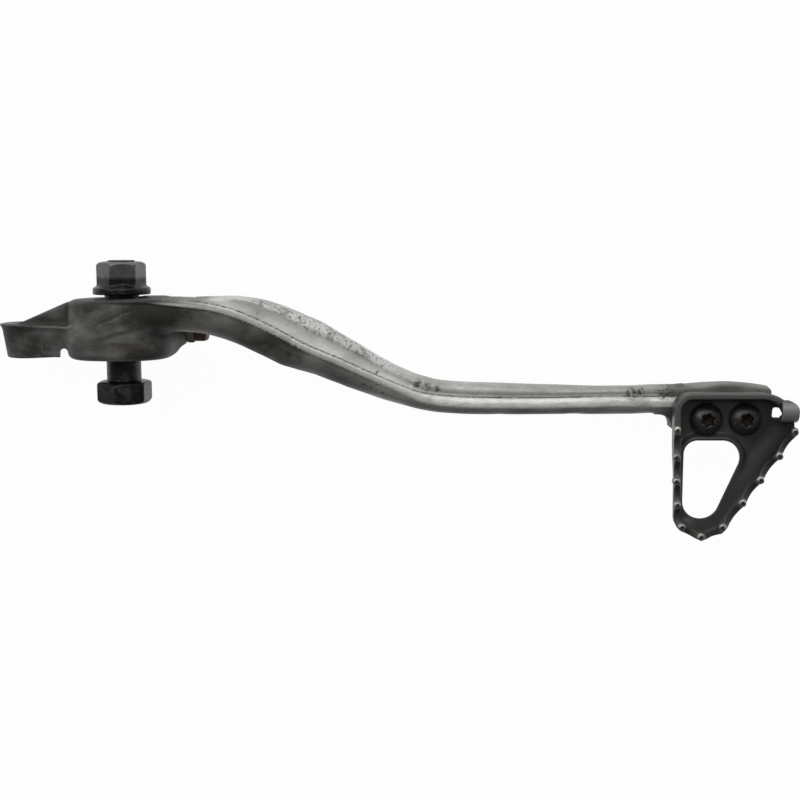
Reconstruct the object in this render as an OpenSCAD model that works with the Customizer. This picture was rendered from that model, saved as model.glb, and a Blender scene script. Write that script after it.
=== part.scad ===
// Rear brake pedal of a motorcycle: a forged lever on a shoulder bolt, with a
// folded sheet step plate at its tip.
// +X runs from the pivot to the tip, +Y from the frame lug towards the nut,
// and +Z is up. The origin is on the pivot axis, on the face that meets the
// frame lug.

/* [Hub] */
// Radius of the hub at the parting plane of the forging
hub_r = 19; // [17:0.1:21]
// Width of the hub along the pivot
hub_w = 20.2; // [19:0.1:25]
// Rounding of the hub's rims
hub_edge_r = 4.2; // [2:0.1:5]
// Draft of the forged faces, in degrees
draft = 5; // [2:0.5:7]
// Distance of the parting plane from the lug face
parting_y = 10.4; // [9:0.1:13]

/* [Pivot] */
// Diameter of the bolt's shoulder
shoulder_d = 12; // [10:0.1:12.2]
// Thickness of the frame lug that the bolt clamps
lug_gap = 8.6; // [6:0.1:10]
// Gap between the hub and the nut's flange
side_play = 1.8; // [0.5:0.1:2.5]
// Running clearance between the shoulder and the bushes, on the radius
running_gap = 0.05; // [0.02:0.01:0.1]
// Wall of each bush
bush_wall = 2; // [1.5:0.1:2.5]
// Length of each bush, as a share of the room between the seals
bush_share = 0.41; // [0.3:0.01:0.48]
// Outer diameter of the dust seals
seal_d = 18.5; // [17.5:0.1:20]
// Width of the dust seals
seal_w = 2.4; // [2:0.1:3]
// Gap between a seal's lip and the shoulder
lip_gap = 0.08; // [0.05:0.01:0.1]

/* [Pivot bolt and nut] */
// Width across flats of the bolt's head
head_af = 17; // [16:0.5:19]
// Height of the bolt's head
head_h = 7.8; // [6:0.1:8.5]
// Diameter of the bolt's thread
thread_d = 10; // [8:0.5:10]
// Width across flats of the nut
nut_af = 15; // [14:0.5:16]
// Height of the nut above its flange
nut_h = 8.2; // [7:0.1:10]
// Diameter of the nut's flange
flange_d = 20; // [19:0.1:22]
// Thickness of the nut's flange at its rim
flange_t = 2; // [1.5:0.1:2.5]

/* [Tail] */
// Distance from the pivot back to the push rod's eye
eye_back = 34.9; // [33:0.1:37]
// Height of the eye's axis relative to the pivot axis
eye_z = -7.5; // [-7.8:0.1:-4]
// Radius of the eye at the parting line
eye_r = 10.2; // [9.4:0.1:10.4]
// Radius of the eye at its outer face
eye_face_r = 7.8; // [7:0.1:8.5]
// Diameter of the push rod pin's hole
eye_bore_d = 8; // [6:0.1:9]
// Width of the eye along its axis
eye_w = 11.2; // [10:0.1:13]
// Distance of the eye's outer face from the lug face
eye_y = 0.3; // [0:0.1:1]

/* [Arm] */
// Distance from the pivot axis to the tip of the arm
arm_reach = 233; // [228:0.5:242]
// How far the arm steps sideways between the hub and the tip
arm_offset = 37; // [34:0.5:40]
// How far the arm drops between the hub and the tip
arm_drop = 22; // [18:0.5:22]
// Distance of the first bend from the pivot axis
bend_1_x = 33; // [28:0.5:38]
// Distance of the second bend from the pivot axis
bend_2_x = 105; // [100:0.5:112]
// Distance of the arm's ridge from the lug face, at the hub
ridge_y = 20.9; // [20:0.1:21.5]
// Height of the arm at the hub
root_h = 17; // [15:0.1:18]
// Height of the arm along its straight part
shank_h = 12.6; // [11:0.1:13]
// Width of the flash land on the ridge
land_w = 1.7; // [1:0.1:2.2]

/* [Step plate] */
// Width of the plate along the arm
plate_w = 42.9; // [42:0.1:45]
// Width across the pad that carries the plate
pad_w = 19.1; // [18:0.1:20]
// Thickness of the sheet
sheet_t = 2.3; // [2:0.1:2.6]
// Height of the wall above the tread
wall_h = 5.5; // [5:0.1:8]
// Lean of the wall, outwards, in degrees
wall_lean = 8; // [0:0.5:12]
// Depth of the scallops between the teeth
scallop_d = 2.2; // [1.5:0.1:3.5]
// Width of a tooth at its tip
tooth_w = 2.6; // [2:0.1:3]
// How far the mounting floor lies below the tread
joggle_h = 2.2; // [1.5:0.1:3]
// Side of the square hole beside the folded tab
square_hole = 3.5; // [3:0.1:4]

/* [Plate screws] */
// Distance between the two screws
screw_pitch = 14; // [13.2:0.1:14.5]
// Diameter of the screws
screw_d = 6; // [5:0.5:6]
// Diameter of the screw heads
screw_head_d = 12; // [11:0.1:12.5]
// Height of the screw heads
screw_head_h = 4; // [3:0.1:4.6]

/* [Stop screw] */
// Diameter of the stop screw
stop_d = 8; // [6:0.5:8]
// Width across flats of the stop screw and its lock nut
stop_af = 13; // [12:0.5:13]
// Height of the stop screw's head
stop_head_h = 4.2; // [4:0.1:6]
// Thickness of the lock nut
lock_nut_h = 3.6; // [3.5:0.1:5]
// Distance of the stop screw's axis from the lug face
stop_y = 11.8; // [11:0.1:13]
// Depth of the stop screw's axis below the pivot axis
stop_depth = 9; // [8.6:0.1:9.4]
// Length of the stop screw's thread inside the forging
stop_hold = 10.7; // [9:0.1:11.5]

/* [Hidden] */
$fn = 64;

forged = [0.62, 0.62, 0.62];
stamped = [0.30, 0.30, 0.29];
blackened = [0.17, 0.18, 0.18];
rubber = [0.08, 0.08, 0.08];
bronze = [0.55, 0.42, 0.25];

shoulder_r = shoulder_d / 2;
bore_r = shoulder_r + running_gap + bush_wall;
seal_r = seal_d / 2;
seal_in = 0.3;
bush_lug_y = seal_in + seal_w;
bush_len = (hub_w - 2 * bush_lug_y) * bush_share;
bush_nut_y = hub_w - seal_in - seal_w - bush_len;
hub_taper = tan(draft);
nut_y = hub_w + side_play;
nut_total = flange_t + 1.1 + nut_h;
tip_y = ridge_y - arm_offset;
eye_x = -eye_back;
stop_face_x = hub_r + 1.9;
plate_x = arm_reach - 38.4;
plate_y = tip_y + 2.8;

// Each row: place along the arm (0 pivot, 1 and 2 the bends, 3 where it starts
// to flatten, 4 its end inside the pad), share of the sideways step, distance
// from ridge to inner side, ridge to crease, ridge to outer side, height as a
// share, and share of the drop.
ARM = [
    [0.15, 0.050, 1.4, 0.8, 9.0, 0.72, 0.00],
    [0.36, 0.025, 1.2, 0.9, 9.9, 0.86, 0.00],
    [0.55, 0.013, 1.1, 0.9, 10.3, 0.94, 0.01],
    [0.85, 0.045, 2.4, 1.6, 9.9, 1.00, 0.04],
    [1.02, 0.078, 3.6, 2.6, 10.2, 1.00, 0.07],
    [1.11, 0.130, 5.4, 4.9, 10.7, 0.99, 0.11],
    [1.21, 0.210, 7.7, 6.6, 11.0, 0.98, 0.15],
    [1.31, 0.311, 9.4, 6.7, 11.1, 0.96, 0.20],
    [1.40, 0.416, 10.6, 6.7, 9.4, 0.93, 0.25],
    [1.50, 0.509, 10.8, 6.4, 8.5, 0.91, 0.30],
    [1.60, 0.592, 9.8, 6.1, 8.2, 0.89, 0.36],
    [1.70, 0.686, 8.8, 5.3, 7.6, 0.87, 0.41],
    [1.80, 0.779, 7.8, 4.6, 6.8, 0.85, 0.46],
    [1.90, 0.870, 7.2, 4.0, 5.8, 0.83, 0.51],
    [2.00, 0.940, 6.9, 3.4, 5.2, 0.81, 0.56],
    [2.11, 0.973, 6.3, 3.0, 5.1, 0.79, 0.60],
    [2.291, 0.995, 6.2, 2.8, 5.1, 0.77, 0.66],
    [2.691, 1.005, 5.5, 2.6, 5.0, 0.755, 0.79],
    [3.00, 0.997, 4.6, 2.5, 5.5, 0.74, 0.88],
    [3.37, 1.000, 5.0, 2.6, 5.3, 0.67, 0.93],
    [3.66, 1.000, 5.6, 2.7, 4.7, 0.465, 0.975],
    [4.00, 1.000, 5.7, 2.7, 4.4, 0.46, 0.99]];
SIDES = 16;

function place(t) = t < 1 ? t * bend_1_x
    : t < 2 ? bend_1_x + (t - 1) * (bend_2_x - bend_1_x)
    : t < 3 ? bend_2_x + (t - 2) * (plate_x - 23 - bend_2_x)
    : plate_x - 23 + (t - 3) * 31;
function arm_z(f) = hub_r - 0.6 - root_h / 2 - arm_drop * f;
function arm_ring(r) = let (
    x = place(r[0]), y = ridge_y - arm_offset * r[1], z = arm_z(r[6]),
    h = root_h / 2 * r[5], w = land_w / 2)
    [for (p = [
        [w, 1], [r[3], 0.87], [r[3] + 0.66 * (r[2] - r[3]), 0.64], [r[2], 0.22],
        [r[2], -0.22], [r[3] + 0.66 * (r[2] - r[3]), -0.64], [r[3], -0.87], [w, -1],
        [-w, -1], [-0.55 * r[4], -0.88], [-0.88 * r[4], -0.62], [-r[4], -0.2],
        [-r[4], 0.2], [-0.88 * r[4], 0.62], [-0.55 * r[4], 0.88], [-w, 1]])
        [x, y + p[0], z + p[1] * h]];

pad_z = arm_z(1) + 4.6;
pad_bottom = -hub_r;
floor_z = pad_z;
tread_z = floor_z + joggle_h;
rim_z = tread_z + sheet_t + wall_h;
// Corners of the plate at the floor's level, each with its radius.
PLATE = [
    [plate_x + plate_w, plate_y, 9],
    [plate_x, plate_y, 5.6],
    [plate_x, plate_y - 47, 5],
    [plate_x + 10.5, plate_y - 52, 7],
    [plate_x + 17.1, plate_y - 49, 6],
    [plate_x + plate_w, plate_y - 12, 6]];
// Corners of the mud window, each with its radius.
WINDOW = [
    [plate_x + 28.4, plate_y - 17.3, 6.5],
    [plate_x + 4.5, plate_y - 17.3, 4.8],
    [plate_x + 4.5, plate_y - 71.6, 6.7]];
// Places of the teeth round the rim.
TEETH = [
    [1, -13], [1, -22.7], [1.3, -31.4], [1.9, -40], [3.7, -47.7],
    [10.5, -51.4], [17.9, -47.8], [24.9, -39], [31, -30.7], [37.4, -22],
    [plate_w, -13.4]];
joggle_y = plate_y - 13.4;
screw_x = plate_x + 19.7;
screw_y = plate_y - 9.9;

function flat(p) = [p[0], p[1]];
function unit(v) = v / norm(v);
// Rounded corner as points with their outward normals.
function corner(c, i, steps) = let (
    n = len(c), p = flat(c[i]),
    a = unit(flat(c[(i + n - 1) % n]) - p), b = unit(flat(c[(i + 1) % n]) - p),
    half = acos(a * b) / 2, r = c[i][2], o = p + unit(a + b) * r / sin(half),
    start = atan2(-(a[0]), a[1]) + 180)
    [for (k = [0 : steps]) let (
        q = start + (180 - 2 * half) * k / steps, d = [cos(q), sin(q)])
        [o + r * d, d]];
function rounded(c, steps) = [for (i = [0 : len(c) - 1]) each corner(c, i, steps)];
function step_up(y) = let (s = (joggle_y - y) / 3)
    joggle_h * min(1, max(0, s));
function wall_ring(k) = let (
    p = k[0], n = k[1], z = floor_z + step_up(p[1]), t = sheet_t,
    lean = (rim_z - z - 2.4) * tan(wall_lean))
    [for (q = [
        [-3.6, z], [-2.4, z], [-0.7, z + 0.7], [0, z + 2.4], [lean, rim_z],
        [lean - t, rim_z], [-t, z + t + 0.9], [-t - 0.25, z + t + 0.25],
        [-t - 0.9, z + t], [-3.6, z + t]])
        [p[0] + n[0] * q[0], p[1] + n[1] * q[0], q[1]]];

module loft(rings) {
    m = len(rings[0]);
    n = len(rings);
    polyhedron(
        points = [for (r = rings) each r],
        faces = [
            [for (j = [m - 1 : -1 : 0]) j],
            [for (j = [0 : m - 1]) (n - 1) * m + j],
            for (i = [0 : n - 2]) for (j = [0 : m - 1])
                [i * m + j, i * m + (j + 1) % m, (i + 1) * m + (j + 1) % m, (i + 1) * m + j]],
        convexity = 8);
}

module band(rings) {
    m = len(rings[0]);
    n = len(rings);
    polyhedron(
        points = [for (r = rings) each r],
        faces = [for (i = [0 : n - 1]) for (j = [0 : m - 1])
            [i * m + j, i * m + (j + 1) % m, ((i + 1) % n) * m + (j + 1) % m,
                ((i + 1) % n) * m + j]],
        convexity = 8);
}

// Turns what stands on z so that it runs along +Y.
module along_y() {
    rotate([-90, 0, 0]) children();
}

module hub_barrel() {
    e = hub_edge_r;
    r_lug = hub_r - parting_y * hub_taper;
    r_nut = hub_r - (hub_w - parting_y) * hub_taper;
    along_y()
        rotate_extrude($fn = 96)
            polygon([
                [0, 0], [r_lug - e, 0],
                for (a = [15 : 15 : 75]) [r_lug - e + e * sin(a), e - e * cos(a)],
                [r_lug, e], [hub_r, parting_y], [r_nut, hub_w - e],
                for (a = [75 : -15 : 15]) [r_nut - e + e * sin(a), hub_w - e + e * cos(a)],
                [r_nut - e, hub_w], [0, hub_w]]);
}

module eye_barrel() {
    along_y()
        translate([eye_x, -eye_z, eye_y])
            rotate_extrude($fn = 72)
                polygon([
                    [0, 0], [eye_face_r - 0.8, 0], [eye_face_r, 0.8],
                    [eye_r, eye_w - 1.6], [eye_r - 0.5, eye_w - 0.4],
                    [eye_r - 1.6, eye_w], [0, eye_w]]);
}

module tail_web() {
    notch_x = -hub_r - 1.3;
    difference() {
        translate([0, eye_y + 9.6, 0])
            rotate([90, 0, 0])
                linear_extrude(height = 9.4)
                    polygon([
                        [eye_x + 0.5, eye_z - 7.9], [-8, -16.2], [0, -12], [0, 12],
                        [-10, 13.4], [eye_x + 3, eye_z + 7.9]]);
        translate([notch_x, eye_y + 0.9, -hub_r])
            cylinder(h = 2 * hub_r, r = 1.4, $fn = 32);
        translate([notch_x - 1.4, eye_y - 2, -hub_r])
            cube([2.8, 2.9, 2 * hub_r]);
    }
    translate([0, 0, -2.8])
        linear_extrude(height = 6.8)
            polygon([
                [eye_x - 3, eye_y + 5], [eye_x - 2.4, eye_y + eye_w + 0.2],
                [-18, hub_w - 1.1], [-9, hub_w - 1.1], [-9, eye_y + 5]]);
}

module stop_boss() {
    translate([stop_face_x - stop_hold - 2.6, stop_y, -stop_depth])
        rotate([0, 90, 0])
            cylinder(h = stop_hold + 2.6, r = 7.6);
}

module tip_pad() {
    x = plate_x + 1;
    w = arm_reach - x;
    fillet_r = 3.6;
    side_y = 8.5;
    translate([x, plate_y + 2.5 - pad_w, pad_bottom])
        linear_extrude(height = pad_z - pad_bottom)
            union() {
                polygon([
                    [0, 2.5], [2.5, 0], [w - 6.5, 0], [w - 3.6, 3.5], [w - 2.6, 9.5],
                    [w, pad_w - 4.2], [w - 0.4, pad_w - 2.7], [w - 2.4, pad_w - 1.6],
                    [w - 4.9, pad_w - 1.2], [w - 10.9, pad_w], [0, pad_w]]);
                difference() {
                    translate([-fillet_r, side_y - fillet_r])
                        square([fillet_r + 1, fillet_r]);
                    translate([-fillet_r, side_y - fillet_r]) circle(r = fillet_r);
                }
            }
}

module pedal_arm() {
    color(forged)
        difference() {
            union() {
                hub_barrel();
                eye_barrel();
                tail_web();
                stop_boss();
                loft([for (r = ARM) arm_ring(r)]);
                tip_pad();
            }
            along_y() translate([0, 0, -1]) cylinder(h = hub_w + 2, r = bore_r);
            along_y() translate([0, 0, -1]) cylinder(h = 1 + bush_lug_y, r = seal_r);
            along_y() translate([0, 0, hub_w - seal_in - seal_w])
                cylinder(h = 1 + seal_in + seal_w, r = seal_r);
            along_y() translate([eye_x, -eye_z, -1])
                cylinder(h = eye_w + 3, r = eye_bore_d / 2);
            translate([stop_face_x - stop_hold - 1, stop_y, -stop_depth])
                rotate([0, 90, 0])
                    cylinder(h = stop_hold + 3, r = stop_d / 2);
            for (s = [-1, 1])
                translate([screw_x + s * screw_pitch / 2, screw_y, pad_bottom - 1])
                    cylinder(h = 20, r = screw_d / 2);
        }
}

module bush_at(y) {
    along_y()
        translate([0, 0, y])
            difference() {
                cylinder(h = bush_len, r = bore_r);
                translate([0, 0, -1]) cylinder(h = bush_len + 2, r = shoulder_r + running_gap);
            }
}

module bush_lug_side() {
    color(bronze) bush_at(bush_lug_y);
}

module bush_nut_side() {
    color(bronze) bush_at(bush_nut_y);
}

module seal_at(y) {
    along_y()
        translate([0, 0, y])
            difference() {
                cylinder(h = seal_w, r = seal_r);
                translate([0, 0, -1]) cylinder(h = seal_w + 2, r = shoulder_r + lip_gap);
            }
}

module seal_lug_side() {
    color(rubber) seal_at(seal_in);
}

module seal_nut_side() {
    color(rubber) seal_at(hub_w - seal_in - seal_w);
}

module hex(af, h) {
    cylinder(h = h, r = af / sqrt(3), $fn = 6);
}

module pivot_bolt() {
    color(blackened)
        along_y()
            union() {
                translate([0, 0, -lug_gap - 2]) cylinder(h = lug_gap + nut_y + 2, r = shoulder_r);
                translate([0, 0, nut_y - 0.5]) cylinder(h = nut_total + 1, r = thread_d / 2);
                translate([0, 0, -lug_gap - head_h])
                    intersection() {
                        rotate([0, 0, 23.5]) hex(head_af, head_h);
                        rotate_extrude()
                            polygon([
                                [0, 0], [head_af / 2 - 0.4, 0], [head_af / 2 + 1.6, 1.2],
                                [head_af / 2 + 1.6, head_h - 0.7], [head_af / 2, head_h],
                                [0, head_h]]);
                    }
            }
}

module pivot_nut() {
    color(blackened)
        along_y()
            translate([0, 0, nut_y])
                difference() {
                    union() {
                        rotate_extrude()
                            polygon([
                                [0, 0], [flange_d / 2 - 0.4, 0], [flange_d / 2, 0.4],
                                [flange_d / 2, flange_t], [nut_af / 2, flange_t + 1.1],
                                [0, flange_t + 1.1]]);
                        intersection() {
                            rotate([0, 0, 14.7]) hex(nut_af, nut_total);
                            rotate_extrude()
                                polygon([
                                    [0, 0.5], [nut_af / 2 + 1.4, 0.5],
                                    [nut_af / 2 + 1.4, nut_total - 1.1],
                                    [nut_af / 2 - 0.3, nut_total], [0, nut_total]]);
                        }
                    }
                    translate([0, 0, -1]) cylinder(h = nut_total + 2, r = thread_d / 2);
                }
}

module plate_floor() {
    inner = [for (k = rounded(PLATE, 5)) k[0] - 3.1 * k[1]];
    y0 = joggle_y;
    intersection() {
        translate([0, 0, floor_z - 1])
            linear_extrude(height = 12)
                polygon(inner);
        translate([plate_x - 5, 0, 0])
            rotate([90, 0, 90])
                linear_extrude(height = 60)
                    polygon([
                        [plate_y + 5, floor_z], [plate_y + 5, floor_z + sheet_t],
                        [y0, floor_z + sheet_t], [y0 - 3, tread_z + sheet_t],
                        [plate_y - 60, tread_z + sheet_t], [plate_y - 60, tread_z],
                        [y0 - 3, tread_z], [y0, floor_z]]);
    }
}

// End of the rear wall, folded over the floor.
module tab() {
    t = sheet_t;
    y = plate_y;
    translate([plate_x + plate_w - 5, 0, 0])
        rotate([90, 0, 90])
            linear_extrude(height = 5.4)
                polygon([
                    [y + 0.3, floor_z + 3], [y + 0.8, rim_z - 2], [y + 0.4, rim_z - 0.7],
                    [y - 0.9, rim_z], [y - 8.9, rim_z], [y - 8.9, rim_z - t],
                    [y - 1.9, rim_z - t], [y - 1.9, floor_z + 3]]);
}

module scallop(a, b) {
    c = norm(b - a);
    r = (pow((c - tooth_w) / 2, 2) + pow(scallop_d, 2)) / (2 * scallop_d);
    m = (a + b) / 2;
    d = atan2(b[1] - a[1], b[0] - a[0]);
    translate([plate_x + m[0], plate_y + m[1], rim_z - scallop_d + r])
        rotate([90, 0, d])
            cylinder(h = 16, r = r, center = true);
}

module step_plate() {
    color(stamped)
        difference() {
            union() {
                plate_floor();
                band([for (k = rounded(PLATE, 5)) wall_ring(k)]);
                tab();
            }
            translate([0, 0, floor_z - 1])
                linear_extrude(height = 12)
                    polygon([for (k = rounded(WINDOW, 6)) k[0]]);
            for (s = [-1, 1])
                translate([screw_x + s * screw_pitch / 2, screw_y, floor_z - 1])
                    cylinder(h = 6, r = screw_d / 2);
            translate([plate_x + plate_w - 6.7, plate_y - 9, floor_z - 1])
                linear_extrude(height = 6)
                    square([square_hole, square_hole]);
            for (i = [0 : len(TEETH) - 2])
                scallop(TEETH[i], TEETH[i + 1]);
        }
}

module plate_screw_at(x) {
    z = floor_z + sheet_t;
    translate([x, screw_y, z])
        difference() {
            union() {
                translate([0, 0, pad_bottom + 1.5 - z])
                    cylinder(h = z - pad_bottom, r = screw_d / 2);
                rotate_extrude()
                    polygon([
                        [0, 0], [screw_head_d / 2 - 0.2, 0], [screw_head_d / 2, 0.3],
                        [screw_head_d / 2, 1.3], [screw_head_d * 0.47, 2.2],
                        [screw_head_d * 0.4, 3.05], [screw_head_d * 0.3, 3.6],
                        [screw_head_d * 0.18, screw_head_h], [0, screw_head_h]]);
            }
            for (a = [0 : 60 : 300])
                rotate([0, 0, a])
                    translate([1.85, 0, screw_head_h - 2.4]) cylinder(h = 4, r = 0.72);
            translate([0, 0, screw_head_h - 2.4]) cylinder(h = 4, r = 1.95);
        }
}

module plate_screw_rear() {
    color(blackened) plate_screw_at(screw_x - screw_pitch / 2);
}

module plate_screw_front() {
    color(blackened) plate_screw_at(screw_x + screw_pitch / 2);
}

module along_x() {
    translate([stop_face_x, stop_y, -stop_depth])
        rotate([0, 90, 0])
            children();
}

module stop_screw() {
    color(blackened)
        along_x()
            union() {
                translate([0, 0, -stop_hold])
                    cylinder(h = stop_hold + lock_nut_h + 0.3, r = stop_d / 2);
                translate([0, 0, lock_nut_h])
                    intersection() {
                        hex(stop_af, stop_head_h);
                        rotate_extrude()
                            polygon([
                                [0, 0], [stop_af / 2 + 1.2, 0],
                                [stop_af / 2 + 1.2, stop_head_h - 0.9],
                                [stop_af / 2 - 0.3, stop_head_h], [0, stop_head_h]]);
                    }
            }
}

module stop_lock_nut() {
    color(blackened)
        along_x()
            difference() {
                intersection() {
                    rotate([0, 0, 17]) hex(stop_af, lock_nut_h);
                    rotate_extrude()
                        polygon([
                            [0, 0], [stop_af / 2, 0], [stop_af / 2 + 1.2, 0.6],
                            [stop_af / 2 + 1.2, lock_nut_h - 0.6],
                            [stop_af / 2, lock_nut_h], [0, lock_nut_h]]);
                }
                translate([0, 0, -1]) cylinder(h = lock_nut_h + 2, r = stop_d / 2);
            }
}

pedal_arm();
bush_lug_side();
bush_nut_side();
seal_lug_side();
seal_nut_side();
pivot_bolt();
pivot_nut();
step_plate();
plate_screw_rear();
plate_screw_front();
stop_screw();
stop_lock_nut();
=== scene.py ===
import math
import bpy
import numpy as np
from mathutils import Matrix, Vector


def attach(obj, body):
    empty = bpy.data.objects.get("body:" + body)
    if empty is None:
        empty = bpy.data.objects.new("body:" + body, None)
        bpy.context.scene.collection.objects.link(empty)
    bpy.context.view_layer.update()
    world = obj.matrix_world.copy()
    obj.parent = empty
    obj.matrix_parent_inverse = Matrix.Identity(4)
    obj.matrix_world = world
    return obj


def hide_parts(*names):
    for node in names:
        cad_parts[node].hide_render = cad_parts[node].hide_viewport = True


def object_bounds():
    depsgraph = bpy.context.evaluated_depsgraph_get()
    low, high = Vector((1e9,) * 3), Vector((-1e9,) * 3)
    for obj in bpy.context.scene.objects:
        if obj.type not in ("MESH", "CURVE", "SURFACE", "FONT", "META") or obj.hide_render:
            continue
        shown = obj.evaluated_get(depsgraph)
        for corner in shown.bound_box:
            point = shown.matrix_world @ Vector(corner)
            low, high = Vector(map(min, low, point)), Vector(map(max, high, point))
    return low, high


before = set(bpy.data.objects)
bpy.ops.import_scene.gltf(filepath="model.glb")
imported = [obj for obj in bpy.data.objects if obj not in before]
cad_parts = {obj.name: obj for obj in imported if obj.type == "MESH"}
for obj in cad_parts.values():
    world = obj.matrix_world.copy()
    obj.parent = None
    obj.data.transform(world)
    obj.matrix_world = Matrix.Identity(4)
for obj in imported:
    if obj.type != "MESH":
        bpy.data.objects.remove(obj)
cad_lo, cad_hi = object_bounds()
MM = 0.001


# ---------------------------------------------------------------- solids
# Each solid is a signed distance in millimetres, in the frame of the CAD part.
def smin(a, b, k):
    h = np.maximum(k - np.abs(a - b), 0) / k
    return np.minimum(a, b) - h * h * k * 0.25


def smax(a, b, k):
    return -smin(-a, -b, k)


def meet(a, b, r):
    """Both solids at once, with the edge rounded to radius r."""
    p, q = a + r, b + r
    return np.minimum(np.maximum(p, q), 0) + np.hypot(np.maximum(p, 0), np.maximum(q, 0)) - r


def cyl(u, v, w, r, w0, w1, e):
    """Round bar along w with rounded rims; u and v are across it."""
    return meet(np.hypot(u, v) - r, np.maximum(w0 - w, w - w1), e)


def step01(v):
    """Smooth step from 0 to 1."""
    v = np.clip(v, 0, 1)
    return v * v * (3 - 2 * v)


def band(v, lo, hi, rise, fall=None):
    """1 between lo and hi, and 0 outside; it rises and falls inside them."""
    return step01((v - lo) / rise) * step01((hi - v) / (fall or rise))


def nets(f, ax):
    """Surface nets of f = 0 on a grid with these three axes."""
    n = np.array([len(q) for q in ax])
    v = np.empty(n, np.float32)
    step = max(1, int(600000 / (n[1] * n[2])))
    for i in range(0, n[0], step):
        x, y, z = np.meshgrid(ax[0][i:i + step], ax[1], ax[2], indexing="ij")
        v[i:i + step] = f(x, y, z)
    inside = v < 0
    c = np.zeros(n - 1, np.int8)
    corners = [(p, q, r) for p in (0, 1) for q in (0, 1) for r in (0, 1)]
    for p, q, r in corners:
        c += inside[p:n[0] - 1 + p, q:n[1] - 1 + q, r:n[2] - 1 + r]
    cells = np.argwhere((c > 0) & (c < 8))
    index = -np.ones(n - 1, np.int64)
    index[tuple(cells.T)] = np.arange(len(cells))
    total = np.zeros((len(cells), 3))
    count = np.zeros(len(cells))
    for p in corners:
        for k in range(3):
            if p[k]:
                continue
            q = list(p)
            q[k] = 1
            vp = v[tuple((cells + p).T)].astype(float)
            vq = v[tuple((cells + q).T)].astype(float)
            hit = (vp < 0) != (vq < 0)
            t = np.where(hit, vp / np.where(hit, vp - vq, 1), 0)
            total += (np.array(p, float) + np.outer(t, np.eye(3)[k])) * hit[:, None]
            count += hit
    part = total / count[:, None]
    low = np.stack([ax[k][cells[:, k]] for k in range(3)], 1)
    high = np.stack([ax[k][cells[:, k] + 1] for k in range(3)], 1)
    verts = low + part * (high - low)
    quads = []
    for k in range(3):
        i, j = (k + 1) % 3, (k + 2) % 3
        a = np.take(inside, range(n[k] - 1), axis=k)
        b = np.take(inside, range(1, n[k]), axis=k)
        e = np.argwhere(a != b)
        e = e[(e[:, i] > 0) & (e[:, j] > 0) & (e[:, i] < n[i] - 1) & (e[:, j] < n[j] - 1)]
        out = a[tuple(e.T)]
        ring = []
        for di, dj in ((1, 1), (0, 1), (0, 0), (1, 0)):
            q = e.copy()
            q[:, i] -= di
            q[:, j] -= dj
            ring.append(index[tuple(q.T)])
        ring = np.stack(ring, 1)
        ring[~out] = ring[~out][:, ::-1]
        quads.append(ring)
    return verts, np.concatenate(quads)


def gradient(f, p, e=0.03):
    g = np.empty_like(p)
    for k in range(3):
        d = np.zeros(3)
        d[k] = e
        g[:, k] = (f(*(p + d).T) - f(*(p - d).T)) / (2 * e)
    return g


def settle(f, verts, quads, h, rounds=3):
    """Moves the net's points onto the surface and evens them out."""
    for r in range(rounds):
        for _ in range(2):
            g = gradient(f, verts)
            s = f(*verts.T) / np.maximum((g * g).sum(1), 0.05)
            verts = verts - g * np.clip(s, -h, h)[:, None]
        if r == rounds - 1:
            break
        around = np.zeros_like(verts)
        count = np.zeros(len(verts))
        for k in range(4):
            for o in (1, 3):
                np.add.at(around, quads[:, k], verts[quads[:, (k + o) % 4]])
                np.add.at(count, quads[:, k], 1)
        mean = around / np.maximum(count, 1)[:, None]
        n = g / np.maximum(np.linalg.norm(g, axis=1), 1e-9)[:, None]
        move = mean - verts
        verts = verts + 0.6 * (move - n * (move * n).sum(1)[:, None])
    return verts


def make(name, verts, quads, marks):
    """Object with this mesh, and with the marks as attributes of its points."""
    mesh = bpy.data.meshes.new(name)
    mesh.vertices.add(len(verts))
    mesh.vertices.foreach_set("co", (verts * MM).astype(np.float32).ravel())
    mesh.loops.add(quads.size)
    mesh.loops.foreach_set("vertex_index", quads.astype(np.int32).ravel())
    mesh.polygons.add(len(quads))
    mesh.polygons.foreach_set("loop_start", np.arange(0, quads.size, 4, dtype=np.int32))
    mesh.polygons.foreach_set("loop_total", np.full(len(quads), 4, np.int32))
    mesh.polygons.foreach_set("use_smooth", np.ones(len(quads), bool))
    mesh.update(calc_edges=True)
    mesh.validate()
    for key, value in marks.items():
        mesh.attributes.new(key, "FLOAT", "POINT").data.foreach_set(
            "value", value.astype(np.float32))
    o = bpy.data.objects.new(name, mesh)
    bpy.context.scene.collection.objects.link(o)
    return o


def steps(*parts):
    """Grid positions: runs of (start, end, step), joined."""
    return np.unique(np.concatenate([
        np.linspace(p, q, int(round((q - p) / h)) + 1) for p, q, h in parts]).round(6))


def solid(name, f, ax, marks=None, reach=1.2):
    """Mesh of the solid f < 0, with marks for hollows and for worn edges."""
    verts, quads = nets(f, ax)
    h = max(float(np.diff(q).max()) for q in ax)
    verts = settle(f, verts, quads, h)
    g = gradient(f, verts)
    size = np.maximum(np.linalg.norm(g, axis=1), 0.2)
    n = g / size[:, None]
    out = {
        "hollow": np.clip(1 - f(*(verts + n * reach).T) / (reach * size), 0, 1),
        "edge": np.clip(1 + f(*(verts - n * reach * 0.5).T) / (reach * 0.5 * size), 0, 1)}
    if marks:
        out.update(marks(verts, n))
    return make(name, verts, quads, out)


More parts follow.
